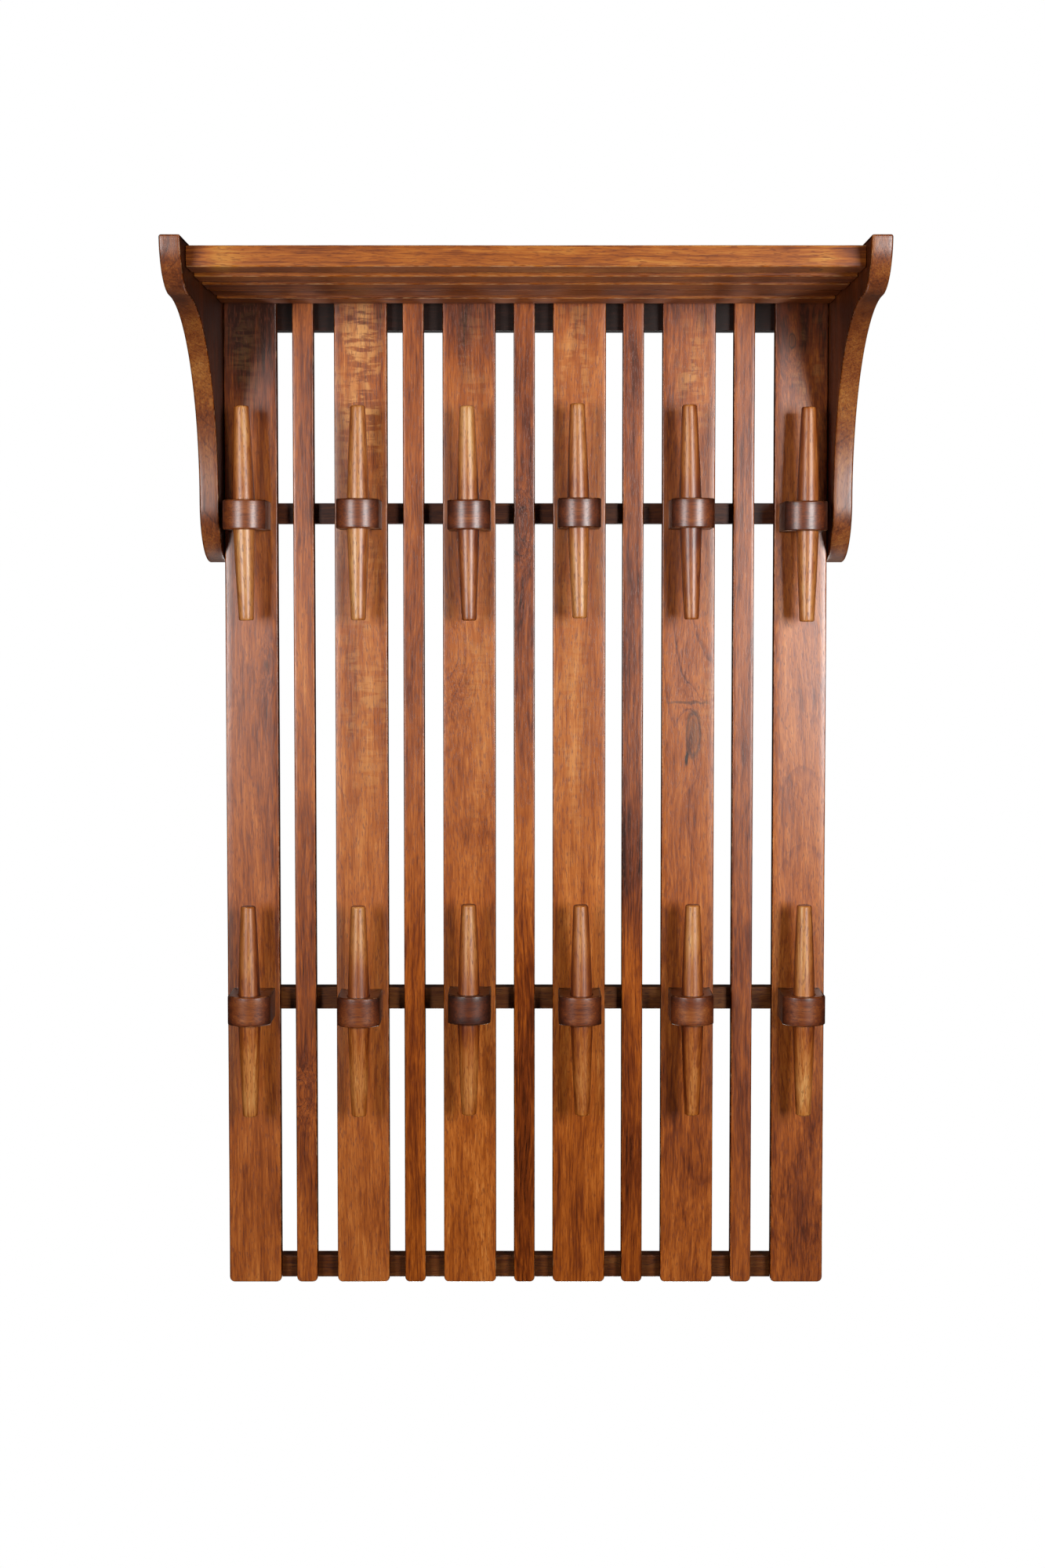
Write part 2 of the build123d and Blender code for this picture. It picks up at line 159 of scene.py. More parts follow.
# How far apart in the log the boards were cut, in millimetres, so that no two have the same figure.
LOG_STEP = 1000.0


def millimetres(node):
    """The lowest and highest corner of a CAD node in millimetres."""
    low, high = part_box(node)
    return np.array(low) * 1000, np.array(high) * 1000


def uneven(along, seed):
    """
    A slow wander between -1 and 1: the sum of three sines with seeded phases and unlike
    wavelengths in millimetres, the longest the strongest.
    """
    phases = np.random.default_rng(seed).uniform(0, 2 * math.pi, 3)
    total = 0.0
    for share, length, phase in zip((0.5, 0.3, 0.2), (310, 117, 43), phases):
        total = total + share * np.sin(2 * math.pi * along / length + phase)
    return total


def rounded_section(half_width, half_depth, radius, corner_steps=6, side_steps=(8, 3)):
    """
    Points counter-clockwise round a rectangle with round corners, one ring per row of the sizes.
    A corner's point is the corner's centre plus radius times (cos, sin) of its angle, and a
    side's points lie evenly between two corners. Wear is the square of sin(2 angle) on a corner
    and 0 on a side.
    """
    pieces, wear = [], []
    signs = ((1, 1), (-1, 1), (-1, -1), (1, -1))
    quarter = np.linspace(0, math.pi / 2, corner_steps)[None, :]
    corners = []
    for k, (sx, sy) in enumerate(signs):
        angle = quarter + k * math.pi / 2
        x = sx * (half_width - radius) + radius * np.cos(angle)
        y = sy * (half_depth - radius) + radius * np.sin(angle)
        corners.append(np.stack([x, y], axis=-1))
    for k in range(4):
        steps = side_steps[k % 2]
        t = np.linspace(0, 1, steps + 2)[1:-1][None, :, None]
        start, end = corners[k][:, -1:], corners[(k + 1) % 4][:, :1]
        pieces += [corners[k], start + (end - start) * t]
        wear += [np.sin(2 * quarter[0]) ** 2, np.zeros(steps)]
    return np.concatenate(pieces, axis=1), np.concatenate(wear)


def surface(name, rings, fields, node, caps=True):
    """
    A mesh from closed rings of points in millimetres, shaped (rings, points, 3). Quads join each
    ring to the next; with caps the end rings are filled, without them the last ring meets the
    first. Fields are values for each point, kept as attributes for the material.
    """
    count, around = rings.shape[:2]
    index = np.arange(count * around).reshape(count, around)
    lower, upper = (index[:-1], index[1:]) if caps else (index, np.roll(index, -1, axis=0))
    quads = [lower, np.roll(lower, -1, axis=1), np.roll(upper, -1, axis=1), upper]
    faces = np.stack(quads, axis=-1).reshape(-1, 4).tolist()
    if caps:
        faces += [index[0, ::-1].tolist(), index[-1].tolist()]
    mesh = bpy.data.meshes.new(name)
    mesh.from_pydata((rings.reshape(-1, 3) / 1000).tolist(), [], faces)
    mesh.shade_smooth()
    for key, values in fields.items():
        values = np.ascontiguousarray(values, dtype=np.float32)
        kind, member = ("FLOAT_VECTOR", "vector") if key == "log" else ("FLOAT", "value")
        attribute = mesh.attributes.new(key, kind, "POINT")
        attribute.data.foreach_set(member, values.ravel())
    piece = bpy.data.objects.new(name, mesh)
    bpy.context.scene.collection.objects.link(piece)
    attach(piece, "root")
    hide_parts(node)
    return piece


def sawn(local, board, bends=()):
    """
    Where each point of a board lay in the log: across and through from the pith, and along it,
    in millimetres. The pith leans through the board by a share of the length, and three tenths of
    that across it. A knot pushes the grain by a bell curve of the distance, and spreads it aside
    by half as much times the distance.
    """
    across, through, along = np.moveaxis(local, -1, 0)
    side = across - board["pith"][0] + 0.3 * board["lean"] * along
    depth = through + board["pith"][1] + board["lean"] * along
    for place, height, width, length, push in bends:
        u, v = (across - place) / width, (along - height) / length
        side = side + 0.5 * push * u * np.exp(-u * u - v * v)
        depth = depth + push * np.exp(-u * u - v * v)
    return np.stack([side, depth, along + LOG_STEP * board["seed"]], axis=-1)


def bells(local, patches):
    """Patches on a board's face: the sum of strength times exp(-(u squared + v squared))."""
    total = np.zeros(local.shape[:-1])
    for across, along, width, length, strength in patches:
        u, v = (local[..., 0] - across) / width, (local[..., 2] - along) / length
        total += strength * np.exp(-u * u - v * v)
    return total


def slat_stations(length):
    """Heights of a slat's rings: densest where its ends bend most, and even between the ends."""
    end = np.array([0, 0.12, 0.4, 0.85, SLAT_ARRIS, 2.3, 3.3, SLAT_CORNER])
    middle = np.arange(SLAT_CORNER + SLAT_STATION, length - SLAT_CORNER - 1, SLAT_STATION)
    return np.concatenate([end, middle, length - end[::-1]])


def rounded_edge(distance, radius):
    """
    How far a round edge stands back at a distance from the end: the radius less the root of
    radius squared - (radius - distance) squared.
    """
    short = np.clip(radius - distance, 0, radius)
    return radius - np.sqrt(radius**2 - short**2)


def slat(node, board, shades, gold=()):
    """
    A rounded section carried up the board, drawn in at the ends by the corner and the arris. The
    sawn sides, which are the last half millimetre across, are painted darker, as shade and as
    stain, and have less lacquer than the planed face.
    """
    low, high = millimetres(node)
    width, thick, length = high - low
    z = slat_stations(length)
    from_end = np.minimum(z, length - z)[:, None]
    half_width = width / 2 - rounded_edge(from_end, SLAT_CORNER)
    half_depth = thick / 2 - rounded_edge(from_end, SLAT_ARRIS)
    arris = SLAT_ARRIS * (1 + ARRIS_WANDER * uneven(z, board["seed"]))[:, None]
    near_end = np.clip(SLAT_ARRIS - from_end, 0, None)
    arris = np.minimum(arris, 0.25 + np.sqrt(SLAT_ARRIS**2 - near_end**2))
    section, wear = rounded_section(half_width, half_depth, arris)
    up = np.broadcast_to(z[:, None, None], section.shape[:2] + (1,))
    rings = np.concatenate([section, up], axis=-1)
    centre = np.array([(low[0] + high[0]) / 2, (low[1] + high[1]) / 2, low[2]])
    points = rings + centre
    local = points - np.array([centre[0], low[1], 0])
    # The sides' last half millimetre is painted darker, as shade and as stain, and given less lacquer.
    aside = np.clip((np.abs(section[..., 0]) - half_width + 0.6) / 0.5, 0, 1)
    dulled = board["matt"] * np.clip((local[..., 2] - DULL_FROM) / (DULL_FULL - DULL_FROM), 0, 1)
    fields = {
        "log": sawn(local, board, BENDS.get(node, ())),
        "gold": bells(local, gold),
        "wear": np.broadcast_to(wear, rings.shape[:2]),
        "tone": board["tone"] + bells(local, shades) - SIDE_STAIN_AND_SHADE * aside,
        "rings": board["rings"] + bells(local, RING_FIGURE.get(node, ())),
        "matt": np.maximum(dulled, SAWN_SIDE_MATT * aside),
    }
    return surface("slat_board_" + node, points, fields, node)


def linear(sheet):
    """An sRGB hex colour as linear RGBA."""
    srgb = np.array([int(sheet[i : i + 2], 16) for i in (1, 3, 5)]) / 255
    rgb = np.where(srgb <= 0.04045, srgb / 12.92, ((srgb + 0.055) / 1.055) ** 2.4)
    return (*rgb.tolist(), 1.0)


def add(tree, kind, inputs=(), **settings):
    """
    Adds a node: settings are its properties, and inputs are its sockets, each a value, another
    node's output, or a node whose first output is meant.
    """
    made = tree.nodes.new(kind)
    for key, value in settings.items():
        setattr(made, key, value)
    for key, value in dict(inputs).items():
        if isinstance(value, bpy.types.Node):
            value = value.outputs[0]
        if isinstance(value, bpy.types.NodeSocket):
            tree.links.new(value, made.inputs[key])
        else:
            made.inputs[key].default_value = value
    return made


GOLDEN_WOOD = "#efb067"
KNOT_WOOD = "#1c0f08"
LACQUER_IOR = 1.55


def grained_wood(
    name,
    shades,
    worn,
    wood_rough=0.34,
    coat_rough=0.31,
    lacquer=0.9,
    ring_width=6.0,
    figure=1.0,
    turned=None,
    knots=(),
    pale=0.0,
    relief=1.0,
):
    """
    Planed wood and its finish, here mango under walnut stain and satin lacquer. The eye gets short
    fibres, streaks, slow bands and soft clouds, in shades from the darkest wood to the palest,
    with faint growth rings, short dark pores, and where the board has them golden rippled figure,
    dark knots and pale rubbed arrises. The lacquer gives a broad sheen from the wood and a tighter
    one from its coat, and both are weaker where the board is worn or matt.

    Lacquer is how strong the finish is, wood_rough and coat_rough how dull the wood under it and
    the coat are, pale a shift of the tone, and relief the grain's height in millimetres. A knot is
    its place and its reach in the log, and how dark its heart and rim are. A CAD node's mesh has
    no place in the log, so its material reads its own coordinates, turned by the given angles.
    """
    material = bpy.data.materials.new(name)
    material.use_nodes = True
    tree = material.node_tree
    tree.nodes.clear()
    if turned is None:
        log = add(tree, "ShaderNodeAttribute", attribute_name="log").outputs["Vector"]
    else:
        place = add(tree, "ShaderNodeTexCoord").outputs["Object"]
        log = add(tree, "ShaderNodeMapping", {0: place, 2: turned, 3: (1000, 1000, 1000)})
    # The board's own fields, which read as 0 where a mesh has none.
    own = {}
    for key in ("tone", "rings", "gold", "wear", "matt"):
        own[key] = add(tree, "ShaderNodeAttribute", attribute_name=key).outputs["Fac"]

    # The grain sways by a few millimetres over a hand's length, and its lines fray by about one.
    # Each push has a size across and along the fibres in millimetres, and a detail.
    pushes = []
    for across, along, detail in ((38, 190, 2.0), (5, 7, 1.0)):
        scale = (1 / across, 1 / across, 1 / along)
        sized = add(tree, "ShaderNodeVectorMath", {0: log, 1: scale}, operation="MULTIPLY")
        noise = add(tree, "ShaderNodeTexNoise", {"Vector": sized, "Scale": 1.0, "Detail": detail})
        centred = {0: noise.outputs["Color"], 1: (-0.5, -0.5, -0.5)}
        pushes.append(add(tree, "ShaderNodeVectorMath", centred, operation="ADD"))
    sway, jitter = pushes
    grain = add(tree, "ShaderNodeVectorMath", {0: sway, 1: (14, 14, 0), 2: log}, operation="MULTIPLY_ADD")
    frayed = add(tree, "ShaderNodeVectorMath", {0: jitter, 1: (2, 2, 4), 2: log}, operation="MULTIPLY_ADD")

    # Growth rings count the distance from the pith in ring widths. The last sixth of each ring is
    # dark late wood, which ends sharply.
    soft = {"interpolation_type": "SMOOTHSTEP"}
    flat = add(tree, "ShaderNodeVectorMath", {0: jitter, 1: (0.8, 0.8, 0), 2: log}, operation="MULTIPLY_ADD")
    scale = (1 / ring_width, 1 / ring_width, 0)
    flat = add(tree, "ShaderNodeVectorMath", {0: flat, 1: scale}, operation="MULTIPLY")
    turns = add(tree, "ShaderNodeVectorMath", {0: flat}, operation="LENGTH").outputs["Value"]
    phase = add(tree, "ShaderNodeMath", {0: turns}, operation="FRACT")
    darkens = add(tree, "ShaderNodeMapRange", {0: phase, 1: 0.84, 2: 0.96}, **soft)
    ends = add(tree, "ShaderNodeMapRange", {0: phase, 1: 1.0, 2: 0.97}, **soft)
    late = add(tree, "ShaderNodeMath", {0: darkens, 1: ends}, operation="MULTIPLY")
    late = add(tree, "ShaderNodeMath", {0: late, 1: own["rings"]}, operation="MULTIPLY")

    # Each pattern's place, its size across and along the fibres in millimetres, its detail,
    # roughness and distortion. Real fibres and pores are some tenths of a millimetre wide, too
    # fine to show, so the fibres, pores and scuffs are drawn coarser.
    patterns = {
        "fibre": (grain, 1.3, 24, 2.0, 0.6, 0.0),
        "streak": (grain, 3.4, 110, 3.0, 0.6, 0.0),
        "band": (grain, 15, 280, 2.0, 0.5, 0.0),
        "cloud": (grain, 20, 75, 3.0, 0.6, 0.4),
        "ripple": (log, 24, 5, 3.0, 0.6, 0.3),
        "flame": (grain, 12, 34, 2.0, 0.5, 0.6),
        "pore": (grain, 1.0, 7, 1.0, 0.5, 0.0),
        "scuff": (grain, 2.2, 10, 2.0, 0.5, 0.0),
    }
    drawn = {}
    for key, (place, across, along, detail, rough, distortion) in patterns.items():
        scale = (1 / across, 1 / across, 1 / along)
        sized = add(tree, "ShaderNodeVectorMath", {0: place, 1: scale}, operation="MULTIPLY")
        drawn[key] = add(tree, "ShaderNodeTexNoise", {
            "Vector": sized,
            "Scale": 1.0,
            "Detail": detail,
            "Roughness": rough,
            "Distortion": distortion,
        })

    # Golden figure is flames of pale wood in the board's golden patches, crossed by darker bars.
    bars = add(tree, "ShaderNodeMapRange", {0: drawn["ripple"], 1: 0.56, 2: 0.42}, **soft)
    gaps = add(tree, "ShaderNodeMath", {0: bars, 1: -0.9, 2: 1.0}, operation="MULTIPLY_ADD")
    flames = add(tree, "ShaderNodeMapRange", {0: drawn["flame"], 1: 0.36, 2: 0.62}, **soft)
    golden = add(tree, "ShaderNodeMath", {0: flames, 1: own["gold"]}, operation="MULTIPLY")
    golden = add(tree, "ShaderNodeMath", {0: golden, 1: gaps}, operation="MULTIPLY")
    strong = add(tree, "ShaderNodeMapRange", {0: own["gold"], 1: 0.3, 2: 1.0}, **soft)
    rippled = add(tree, "ShaderNodeMath", {0: bars, 1: strong}, operation="MULTIPLY")
    pores = add(tree, "ShaderNodeMapRange", {0: drawn["pore"], 1: 0.56, 2: 0.68}, **soft)
    scuffed = {0: drawn["scuff"], 1: 1.4, 2: own["wear"]}
    scuffed = add(tree, "ShaderNodeMath", scuffed, operation="MULTIPLY_ADD")
    rubbed = add(tree, "ShaderNodeMapRange", {0: scuffed, 1: 1.5, 2: 2.1}, **soft)

    # Weighted sums: each starts from its first number or field and adds values times weights.
    fibre, streak, band, cloud = (drawn[key] for key in ("fibre", "streak", "band", "cloud"))
    sums = {
        "tone": (
            own["tone"],
            (1.0, pale - 0.72 * figure),
            (fibre, 0.84 * figure),
            (streak, 0.60 * figure),
            (band, 0.50),
            (cloud, 0.44),
            (late, -0.26),
            (rippled, -0.22),
        ),
        "dull": (wood_rough - 0.12, (streak, 0.14), (pores, 0.12), (cloud, 0.10)),
        "height": (0.0, (fibre, 0.03), (streak, 0.06), (pores, -0.03), (cloud, 0.25), (late, -0.02)),
    }
    total = {}
    for key, (start, *terms) in sums.items():
        total[key] = start
        for value, weight in terms:
            inputs = {0: value, 1: weight, 2: total[key]}
            total[key] = add(tree, "ShaderNodeMath", inputs, operation="MULTIPLY_ADD")

    ramp = add(tree, "ShaderNodeValToRGB", {0: total["tone"]})
    stops = ramp.color_ramp.elements
    while len(stops) < len(shades):
        stops.new(0.5)
    for k, (stop, sheet) in enumerate(zip(stops, shades)):
        stop.position = k / (len(shades) - 1)
        stop.color = linear(sheet)

    # What lies over the stain, one after the other: where it is, how strong, and its colour.
    layers = [(golden, 0.75, GOLDEN_WOOD), (pores, 0.60, shades[1])]
    for place, reach, heart, rim in knots:
        away = add(tree, "ShaderNodeVectorMath", {0: frayed, 1: place}, operation="SUBTRACT")
        away = add(tree, "ShaderNodeVectorMath", {0: away, 1: reach}, operation="DIVIDE")
        far = add(tree, "ShaderNodeVectorMath", {0: away}, operation="LENGTH").outputs["Value"]
        inside = add(tree, "ShaderNodeMapRange", {0: far, 1: 1.1, 2: 0.5}, **soft)
        rises = add(tree, "ShaderNodeMapRange", {0: far, 1: 0.75, 2: 1.0}, **soft)
        falls = add(tree, "ShaderNodeMapRange", {0: far, 1: 1.3, 2: 1.0}, **soft)
        edge = add(tree, "ShaderNodeMath", {0: rises, 1: falls}, operation="MULTIPLY")
        dark = add(tree, "ShaderNodeMath", {0: inside, 1: heart}, operation="MULTIPLY")
        dark = add(tree, "ShaderNodeMath", {0: edge, 1: rim, 2: dark}, operation="MULTIPLY_ADD")
        layers.append((dark, 1.0, KNOT_WOOD))
    layers.append((rubbed, 0.75, worn))
    body = ramp
    for where, strength, sheet in layers:
        share = add(tree, "ShaderNodeMath", {0: where, 1: strength}, operation="MULTIPLY")
        body = add(tree, "ShaderNodeMix", {0: share, 6: body, 7: linear(sheet)}, data_type="RGBA").outputs[2]

    # How strongly the wood and its coat shine, less so where a board is worn or matt.
    level, cover = 0.1 + 0.5 * lacquer, lacquer
    if turned is None:
        left = add(tree, "ShaderNodeMath", {0: own["wear"], 1: -0.8, 2: 1.0}, operation="MULTIPLY_ADD")
        left = add(tree, "ShaderNodeMath", {0: left, 1: own["matt"]}, operation="SUBTRACT")
        left = add(tree, "ShaderNodeClamp", {0: left})
        level = add(tree, "ShaderNodeMath", {0: left, 1: level}, operation="MULTIPLY")
        cover = add(tree, "ShaderNodeMath", {0: left, 1: cover}, operation="MULTIPLY")
    shader = add(tree, "ShaderNodeBsdfPrincipled", {
        "Base Color": body,
        "Roughness": total["dull"],
        "IOR": LACQUER_IOR,
        "Specular IOR Level": level,
        "Coat Weight": cover,
        "Coat Roughness": coat_rough,
        "Coat IOR": LACQUER_IOR,
        "Normal": add(tree, "ShaderNodeBump", {"Distance": 0.001 * relief, "Height": total["height"]}),
    })
    add(tree, "ShaderNodeOutputMaterial", {0: shader})
    return material


def log_knots(board, knots, bends=()):
    """
    A board's knots as the material takes them: place and reach in the log, heart and rim. A knot
    reaches three times as far into the board as across it.
    """
    made = []
    for across, height, half_width, half_length, heart, rim in knots:
        place = sawn(np.array([across, 0.0, height]), board, bends).tolist()
        made.append((place, (half_width, 3 * half_width, half_length), heart, rim))
    return made


slat_knots = []
for n, board in enumerate(WIDE_BOARDS):
    node = f"wide_slat_{n + 1}"
    if node in KNOTS:
        slat_knots += log_knots(board, KNOTS[node], BENDS[node])
slat_wood = grained_wood(
    "stained_mango_slats",
    shades=("#381403", "#73310a", "#a85414", "#c77028", "#e3944a"),
    worn="#d6a070",
    knots=slat_knots,
)
for n, board in enumerate(WIDE_BOARDS):
    slat(f"wide_slat_{n + 1}", board, WIDE_SHADES[n], WIDE_GOLD[n]).data.materials.append(slat_wood)
for n, board in enumerate(NARROW_BOARDS):
    slat(f"narrow_slat_{n + 1}", board, NARROW_SHADES[n]).data.materials.append(slat_wood)


# ---- Rails -------------------------------------------------------------------------------------
# Four cross members behind the slats, against the wall, of the same wood, drawn in darker shades
# than the slats' as painted shade from the slats and the shelf. They are drilled for the slats'
# screws, and the top one is let in for the two hangers.

# How much paler or darker than the middle of its shades each rail's wood is. The top rail's
# darkness is painted shade under the shelf.
RAIL_TONES_AND_SHADE = {"top_rail": -0.50, "upper_hook_rail": 0.04, "lower_hook_rail": 0.36, "bottom_rail": 0.26}
ALONG_X = (0, math.pi / 2, 0)

for node, tone in RAIL_TONES_AND_SHADE.items():
    rail_wood = grained_wood(
        "stained_mango_" + node,
        shades=("#1a0600", "#321102", "#4c2006", "#64320b", "#7a481c"),
        worn="#7a4a28",
        wood_rough=0.45,
        lacquer=0.25,
        turned=ALONG_X,
        pale=tone,
    )
    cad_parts[node].data.materials.clear()
    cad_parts[node].data.materials.append(rail_wood)


# ---- Side brackets -----------------------------------------------------------------------------
# Two brackets cut from 18 mm board with the grain upright: a round nose that stands out under the
# shelf's end, a long cove and a round toe on the wall. The shelf bars are doweled between them.

NOSE_RADIUS = 44.0
TOE_RADIUS = 55.0
BRACKET_ARRIS = 2.0
BRACKET_CORNER = 2.2
EDGE_RINGS = 5
BROAD_SIDE_MATT = 0.8
EVEN_RINGS = 0.5


def arc(centre, radii, start, stop, steps, inward=False):
    """Points of an ellipse's arc and their normals: the gradient (cos / rx, sin / ry), made unit."""
    angle = np.radians(np.linspace(start, stop, steps))
    turned = np.stack([np.cos(angle), np.sin(angle)], axis=-1)
    points = np.array(centre) + np.array(radii) * turned
    normals = turned / np.array(radii)
    normals /= np.linalg.norm(normals, axis=-1, keepdims=True)
    return points, -normals if inward else normals


def line(start, end, steps, normal):
    """Points strictly between two ends of a straight side, with the side's normal."""
    t = np.linspace(0, 1, steps + 2)[1:-1, None]
    points = np.array(start) + (np.array(end) - np.array(start)) * t
    return points, np.broadcast_to(np.array(normal, float), points.shape)


def joined(*pieces):
    """One closed outline from arcs and lines: all their points and all their normals."""
    return np.concatenate([p for p, _ in pieces]), np.concatenate([n for _, n in pieces])


def bracket_outline(low, high):
    """
    Depth and height round a bracket: straight back and top, a quarter circle for the nose, a
    quarter ellipse for the cove, a quarter circle for the toe, and small round corners.
    """
    front, bottom, back, top = low[1], low[2], high[1], high[2]
    c = BRACKET_CORNER
    nose = (front + NOSE_RADIUS, top)
    toe = (back, bottom + TOE_RADIUS)
    cove = (nose[0], toe[1])
    reach = (toe[0] - TOE_RADIUS) - nose[0]
    drop = (nose[1] - NOSE_RADIUS) - toe[1]
    tilt = math.degrees(math.asin(c / NOSE_RADIUS))
    return joined(
        line((back, bottom + c), (back, top - c), 30, (1, 0)),
        arc((back - c, top - c), (c, c), 0, 90, 5),
        line((back - c, top), (front + c, top), 30, (0, 1)),
        arc((front + c, top - c), (c, c), 90, 178, 5),
        arc(nose, (NOSE_RADIUS, NOSE_RADIUS), 180 + tilt, 269, 26),
        arc(cove, (reach, drop), 90, 1, 60, inward=True),
        arc(toe, (TOE_RADIUS, TOE_RADIUS), 180, 268, 26),
        arc((back - c, bottom + c), (c, c), 270, 360, 5),
    )


def side_bracket(node, board):
    """
    The outline carried across the thickness, drawn in towards each side by a quarter circle, the
    arris, and by one millimetre more on the broad side itself. The broad sides are painted darker,
    as shade, and have less lacquer than the sanded edge.
    """
    low, high = millimetres(node)
    outline, normals = bracket_outline(low, high)
    thick = high[0] - low[0]
    bend = np.linspace(math.pi / 2, 0, 7)
    rubbed = np.sin(2 * bend) ** 2
    edge = np.zeros(EDGE_RINGS)
    side_inset = [BRACKET_ARRIS + 1.0]
    inset = BRACKET_ARRIS * (1 - np.cos(bend))
    inset = np.concatenate([side_inset, inset, edge, inset[::-1], side_inset])
    across = BRACKET_ARRIS * (1 - np.sin(bend))
    between = np.linspace(BRACKET_ARRIS, thick - BRACKET_ARRIS, EDGE_RINGS + 2)[1:-1]
    across = np.concatenate([[0], across, between, thick - across[::-1], [thick]])
    wear = np.concatenate([[0], rubbed, edge, rubbed, [0]])
    broad = np.clip(np.abs(across - thick / 2) - thick / 2 + 1.0, 0, 1)
    flat = outline[None] - inset[:, None, None] * normals[None]
    x = np.broadcast_to((low[0] + across)[:, None, None], flat.shape[:2] + (1,))
    points = np.concatenate([x, flat], axis=-1)
    local = points - np.array([(low[0] + high[0]) / 2, low[1], 0])
    fields = {
        "log": sawn(local, board),
        "wear": np.broadcast_to(wear[:, None], points.shape[:2]),
        "tone": board["tone"] + bells(local, board["shades"]) - board["broad"] * broad[:, None],
        "matt": np.broadcast_to(BROAD_SIDE_MATT * broad[:, None], points.shape[:2]),
        "rings": np.full(points.shape[:2], EVEN_RINGS),
    }
    return surface("shaped_" + node, points, fields, node)


bracket_wood = grained_wood(
    "stained_mango_brackets",
    shades=("#280d03", "#552409", "#814014", "#a05f25", "#bc8040"),
    worn="#b98a63",
    wood_rough=0.40,
    coat_rough=0.33,
    lacquer=0.7,
    figure=0.8,
)
# Each board as a slat's, with how much painted shade darkens its broad sides, and its own shades.
BRACKET_BOARDS = {
    "side_bracket_left": dict(
        pith=(30, -60), lean=0.05, tone=0.08, seed=71, broad=0.52,
        shades=(
            (0, -8, 99, 14, -0.18), (0, -70, 99, 26, 0.16),
            (0, -103, 99, 7, -0.12), (0, -190, 99, 30, -0.12),
        ),
    ),
    "side_bracket_right": dict(
        pith=(-36, -40), lean=-0.04, tone=0.12, seed=82, broad=0.34,
        shades=((0, -20, 99, 20, -0.14), (0, -95, 99, 28, 0.12), (0, -190, 99, 30, -0.06)),
    ),
}
for node, board in BRACKET_BOARDS.items():
    side_bracket(node, board).data.materials.append(bracket_wood)


# ---- Shelf bars --------------------------------------------------------------------------------
# Five bars doweled between the brackets, a finger's width apart, each settled a hair above or
# below its neighbours. Their lower front arrises are rubbed pale.

BAR_ARRIS = 1.5
BAR_STATION = 6.0
BAR_END = 0.6
BAR_RUBBING = 1.2
# The bars behind the front one are toned darker than it, a painted shade under the shelf.
BAR_BOARDS = (
    dict(pith=(40, 70), lean=0.010, tone=0.04, seed=91),
    dict(pith=(-30, 50), lean=0.012, tone=-0.06, seed=92),
    dict(pith=(20, 60), lean=-0.008, tone=-0.08, seed=93),
    dict(pith=(-50, 45), lean=0.010, tone=-0.12, seed=94),
    dict(pith=(35, 40), lean=-0.012, tone=-0.06, seed=95),
)
# The front bar's paler and darker stretches: place in depth and along, their half widths, strength.
FRONT_SHADES = (
    (0, -280, 99, 14, -0.20),
    (0, -256, 99, 10, 0.22),
    (0, -180, 99, 50, -0.13),
    (0, 120, 99, 130, 0.12),
    (0, 222, 99, 14, -0.10),
    (0, 252, 99, 6, 0.12),
    (0, 275, 99, 14, -0.16),
)
FRONT_KNOTS = ((0, 245, 6.0, 5.0, 0.35, 0.75), (0, 241, 2.5, 3.0, 0.6, 0.0))


def shelf_bar(node, board, shades=()):
    """
    A rounded section carried along the shelf, with square ends that are eased by a quarter circle.
    """
    low, high = millimetres(node)
    length, width, thick = high - low
    end = np.array([0, 0.1, 0.3, BAR_END])
    middle = np.arange(BAR_STATION, length - BAR_STATION / 2, BAR_STATION)
    x = np.concatenate([end, middle, length - end[::-1]])
    eased = rounded_edge(np.minimum(x, length - x)[:, None], BAR_END)
    arris = BAR_ARRIS * (1 + ARRIS_WANDER * uneven(x, board["seed"]))[:, None]
    section, wear = rounded_section(width / 2 - eased, thick / 2 - eased, arris, side_steps=(5, 4))
    along = np.broadcast_to(x[:, None, None], section.shape[:2] + (1,))
    centre = np.array([low[0], (low[1] + high[1]) / 2, (low[2] + high[2]) / 2])
    points = np.concatenate([along, section], axis=-1) + centre
    local = np.roll(points - np.array([0, centre[1], centre[2]]), -1, axis=-1)
    fields = {
        "log": sawn(local, board),
        "wear": np.broadcast_to(BAR_RUBBING * wear, points.shape[:2]),
        "tone": board["tone"] + bells(local, shades),
        "rings": np.full(points.shape[:2], EVEN_RINGS),
    }
    return surface("shaped_" + node, points, fields, node)


shelf_wood = grained_wood(
    "stained_mango_shelf",
    shades=("#341002", "#6e3008", "#a85a16", "#c47f30", "#dca656"),
    worn="#d0a070",
    wood_rough=0.50,
    coat_rough=0.42,
    lacquer=0.30,
    figure=0.75,
    knots=log_knots(BAR_BOARDS[0], FRONT_KNOTS),
)
for n, board in enumerate(BAR_BOARDS):
    shades = FRONT_SHADES if n == 0 else ()
    shelf_bar(f"shelf_bar_{n + 1}", board, shades).data.materials.append(shelf_wood)


# ---- Hook blocks -------------------------------------------------------------------------------
# Twelve D-shaped blocks, flat on their slats and bowed in front, with the grain across. Each is
# bored for its peg and held by two screws from behind. Their stain is darker than the slats'.

BLOCK_CORNER = 3.0
BLOCK_ARRIS = 1.5
BLOCK_BOW = 11.0
BACK_CORNER = 0.4
BORE_RADIUS = 10.4
BORE_CHAMFER = 0.8
END_SHADE = 0.40
ARRIS_SHADE = 0.20
BLOCK_RINGS = 0.3


